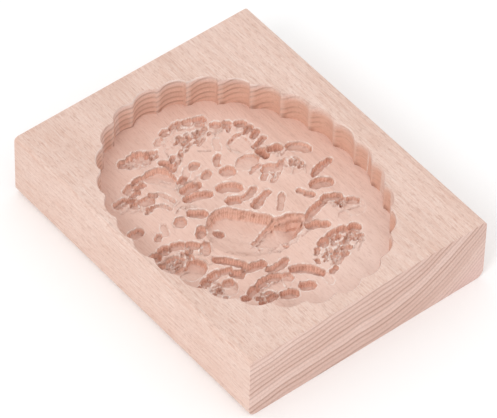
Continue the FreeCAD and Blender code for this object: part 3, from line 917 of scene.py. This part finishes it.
def beech():
    """Pale beech: rings round a far pith, short ray flecks along the grain, and cut walls in
    orange-brown with painted shade and painted highlights.
    """
    material = bpy.data.materials.new("beech")
    material.use_nodes = True
    nodes = Nodes(material.node_tree)
    x, y, z = (part / MM for part in nodes.parts(nodes.add("TexCoord", output="Object")))
    facing = nodes.parts(nodes.add("NewGeometry", output="Normal"))
    tilt = 1.0 - facing[2]
    upright = tilt.between(0.1, 0.7)
    end_grain = abs(facing[1]).between(0.2, 0.9)

    # The wood: growth rings across the end, flecks and fibres along the grain.
    drift = nodes.noise(x * 0.05, y * 0.012, z * 0.05) - 0.5
    bend = (x - RING_BEND).at_least(0.0)
    reach = z - RING_SLOPE * x - RING_CURVE * bend * bend + 3.0 * drift
    low_end = reach.between(-3.0, -11.0)
    faded = 1.0 - 0.7 * low_end
    turn = reach / RING_STEP
    count = turn.whole()
    strength = nodes.add("TexWhiteNoise", {"noise_dimensions": "1D"}, {"W": count}, "Value")
    within = turn - count
    ring = within.between(0.4, 0.85) * within.between(1.0, 0.9) * (0.3 + 0.7 * strength) * faded
    band = nodes.noise(turn * 0.42, y * 0.01, 0.0).between(0.42, 0.62) * faded
    fibre = nodes.noise(x * 3.2, y * 0.16, z * 3.2, 3.0)
    pores = nodes.noise(x * 6.0, y * 1.3, z * 6.0, 1.0).between(0.52, 0.72)
    rays = nodes.noise(x * 2.4, y * 0.40, z * 2.4, 1.0).between(0.54, 0.70)
    cloud = nodes.noise(x * 0.09, y * 0.03, z * 0.09)
    speckle = nodes.noise(x * 0.8, y * 0.8, z).between(0.4, 0.6)
    blotch = nodes.noise(x * 0.6, y * 0.6, z * 0.6).between(0.53, 0.66)

    # What the tools left, with painted light and shade: the carved walls with their
    # stripes, painted highlights along the rims of the cuts, the wall of the recess and its lip.
    well = nodes.attribute("well")
    cut = nodes.attribute("cut").between(0.1, 0.6)
    steep = upright * cut
    stripes = nodes.attribute("travel") * (2 * math.pi / STRIPE_STEP) + 8.0 * (fibre - 0.5)
    stripes = stripes.wave().between(-0.2, 1.0)
    # Painted highlight along the rims of the cuts and the burrs, on flat parts only.
    rim = nodes.attribute("rim") * tilt.between(0.6, 0.15) * (0.2 + 0.8 * speckle)
    across = (x - RECESS_MIDDLE.x) / (RECESS_ACROSS / 2)
    along = (y - RECESS_MIDDLE.y) / (RECESS_ALONG / 2)
    around = (across * across + along * along).between(1.04, 1.025)
    # The lip of the recess: partly paler fresh-cut fibres, partly painted highlight.
    lip = z.between(BOARD_HIGH.z - 2.5 * RIM_SLOPE, BOARD_HIGH.z - RIM_SLOPE)
    lip = lip * around * tilt.between(0.02, 0.15)
    wall = z.between(BOARD_HIGH.z - 0.2, BOARD_HIGH.z - 0.6) * z.between(FLOOR - 0.2, FLOOR)
    wall = wall * upright * (1.0 - cut)
    # Painted shade at the foot of the recess wall, just beside each cusp.
    foot = wall * nodes.attribute("foot") * z.between(FLOOR + 2.0, FLOOR + 0.3)
    floor = well.between(0.4, 0.9) * (1.0 - upright)
    # Where the floor by the near rim gets painted light.
    near = (0.5 * across - along).between(0.35, 1.2)
    plain = 1.0 - 0.5 * floor

    colour = nodes.tint(0.15 + 0.7 * cloud.between(0.3, 0.7), PALE_WOOD, WARM_WOOD)
    colour = nodes.tint(fibre.between(0.3, 0.7) * 0.28 * plain, colour, CREAM_FIBRE_AND_HIGHLIGHT)
    # Painted light: the flat floor of the recess is lifted towards a lighter pink against its shade.
    colour = nodes.tint(floor * 0.2, colour, FLOOR_PAINTED_LIGHT)
    # Painted light on the floor by the near rim, lifting its shade.
    colour = nodes.tint(floor * near * 0.34, colour, CREAM_FIBRE_AND_HIGHLIGHT)
    colour = nodes.tint(end_grain * (0.35 + 0.5 * low_end), colour, END_PINK)
    # Upright faces in the recess: partly the colour of cut wood, partly painted shade, stronger to the
    # right and weaker where cut deep.
    tan_and_shade = 0.55 + 0.2 * x.between(-5.0, 20.0) - 0.25 * cut
    colour = nodes.tint(upright * well.between(0.0, 0.3) * tan_and_shade, colour, WELL_TAN_AND_SHADE)
    colour = nodes.tint(ring * (0.12 + 0.62 * end_grain), colour, RING_BROWN)
    colour = nodes.tint(band * (0.06 + 0.17 * end_grain), colour, RAY_BROWN)
    colour = nodes.tint(rays * plain * (0.32 - 0.2 * end_grain), colour, RAY_BROWN)
    colour = nodes.tint(pores * plain * 0.25, colour, RAY_BROWN)
    # Steep cut walls: partly the orange of cut wood, partly painted warm shade.
    colour = nodes.tint(steep * 0.46, colour, CUT_TAN_AND_SHADE)
    # Painted highlight and painted shade in stripes across the steep walls, for the flutes of the
    # gouge.
    colour = nodes.tint(steep * (1.0 - stripes) * 0.1, colour, CREAM_FIBRE_AND_HIGHLIGHT)
    # Painted shade on the steep walls, in stripes and blotches.
    colour = nodes.tint(steep * (0.22 * stripes + 0.18 * blotch), colour, CUT_SHADE_BROWN)
    # The painted shade beside the cusp feet.
    colour = nodes.tint(foot * 0.6, colour, CUT_SHADE_BROWN)
    # Painted highlight on the rounded cusp ridges.
    colour = nodes.tint(wall * nodes.attribute("ridge") * (0.05 + 0.2 * cloud), colour, CREAM_FIBRE_AND_HIGHLIGHT)
    # Painted shade at the feet of cuts, by the bird's back, along the wing's ledge, in the eye and in
    # the scratches.
    colour = nodes.tint(nodes.attribute("shade") * (0.18 + 0.32 * blotch), colour, CUT_SHADE_BROWN)
    # The painted highlight of the rims.
    colour = nodes.tint(rim * 0.85, colour, CREAM_FIBRE_AND_HIGHLIGHT)
    # Painted highlight along the lip, with paler fresh-cut fibres.
    colour = nodes.tint(lip * 0.4 * cloud.between(0.4, 0.6), colour, CREAM_FIBRE_AND_HIGHLIGHT)

    # Fine relief, in millimetres.
    height = 0.06 * (fibre - 0.5) - 0.04 * rays - 0.03 * pores - 0.05 * ring * end_grain
    height = height - 0.04 * stripes * steep
    bump = nodes.add("Bump", {}, {"Height": height * MM, "Strength": 1.0, "Distance": 1.0})
    shader = material.node_tree.nodes["Principled BSDF"]
    nodes.feed(shader.inputs["Base Color"], colour)
    nodes.feed(shader.inputs["Normal"], bump)
    nodes.feed(shader.inputs["Roughness"], 0.58 + 0.1 * fibre)
    shader.inputs["Specular IOR Level"].default_value = 0.3
    return material


board = carved_board()
board.data.materials.clear()
board.data.materials.append(beech())
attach(board, "root")
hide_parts("mould_board")


# Camera, light and floor, in metres.
CAMERA_PLACE = Vector((-0.51226, -0.60899, 0.88378))
CAMERA_AIM = Vector((-0.00052, -0.00070, 0.010))
CAMERA_ROLL = 1.612
CAMERA_LENS = 343.2
WINDOW_PLACE = Vector((-3.5, -1.4, 3.4))
WINDOW_SIZE = 2.0
WINDOW_POWER = 52.0
SKY_STRENGTH = 0.97


def looking(place, target):
    """Puts a camera or a lamp at a place and turns it to a target."""
    return Matrix.Translation(place) @ (target - place).to_track_quat("-Z", "Y").to_matrix().to_4x4()


def make_camera():
    lens = bpy.data.cameras.new("camera")
    lens.lens = CAMERA_LENS
    lens.sensor_width = 36
    lens.clip_start = 0.05
    camera = bpy.data.objects.new("camera", lens)
    roll = Matrix.Rotation(math.radians(CAMERA_ROLL), 4, "Z")
    camera.matrix_world = looking(CAMERA_PLACE, CAMERA_AIM) @ roll
    bpy.context.scene.collection.objects.link(camera)
    bpy.context.scene.camera = camera


def make_world():
    """Even white light all round, and a pure white backdrop where the world itself is seen."""
    world = bpy.data.worlds.new("studio")
    bpy.context.scene.world = world
    world.use_nodes = True
    world.node_tree.nodes.clear()
    nodes = Nodes(world.node_tree)
    white = (1, 1, 1, 1)
    light = nodes.add("Background", {}, {"Color": white, "Strength": SKY_STRENGTH})
    seen = nodes.add("Background", {}, {"Color": white, "Strength": 1.0})
    straight, mirrored, through = (nodes.add("LightPath", output=ray) for ray in (
        "Is Camera Ray", "Is Glossy Ray", "Is Transmission Ray"))
    mix = nodes.add("MixShader", {}, {0: straight + mirrored + through, 1: light, 2: seen})
    nodes.add("OutputWorld", {}, {"Surface": mix})


def make_window():
    """A broad lamp on the left, far off."""
    window = bpy.data.lights.new("window", "AREA")
    window.shape = "DISK"
    window.size = WINDOW_SIZE
    window.energy = WINDOW_POWER
    lamp = bpy.data.objects.new("window", window)
    lamp.matrix_world = looking(WINDOW_PLACE, Vector())
    bpy.context.scene.collection.objects.link(lamp)


def make_floor():
    ground = bmesh.new()
    bmesh.ops.create_grid(ground, x_segments=1, y_segments=1, size=3)
    bmesh.ops.translate(ground, vec=(0, 0, BOARD_LOW.z * MM), verts=ground.verts)
    floor = new_piece("floor", ground)
    paper = bpy.data.materials.new("white_paper")
    paper.use_nodes = True
    base = paper.node_tree.nodes["Principled BSDF"]
    base.inputs["Base Color"].default_value = (0.98, 0.98, 0.98, 1)
    base.inputs["Roughness"].default_value = 0.9
    floor.data.materials.append(paper)


make_camera()
make_world()
make_window()
make_floor()
bpy.context.scene.view_settings.view_transform = "Standard"
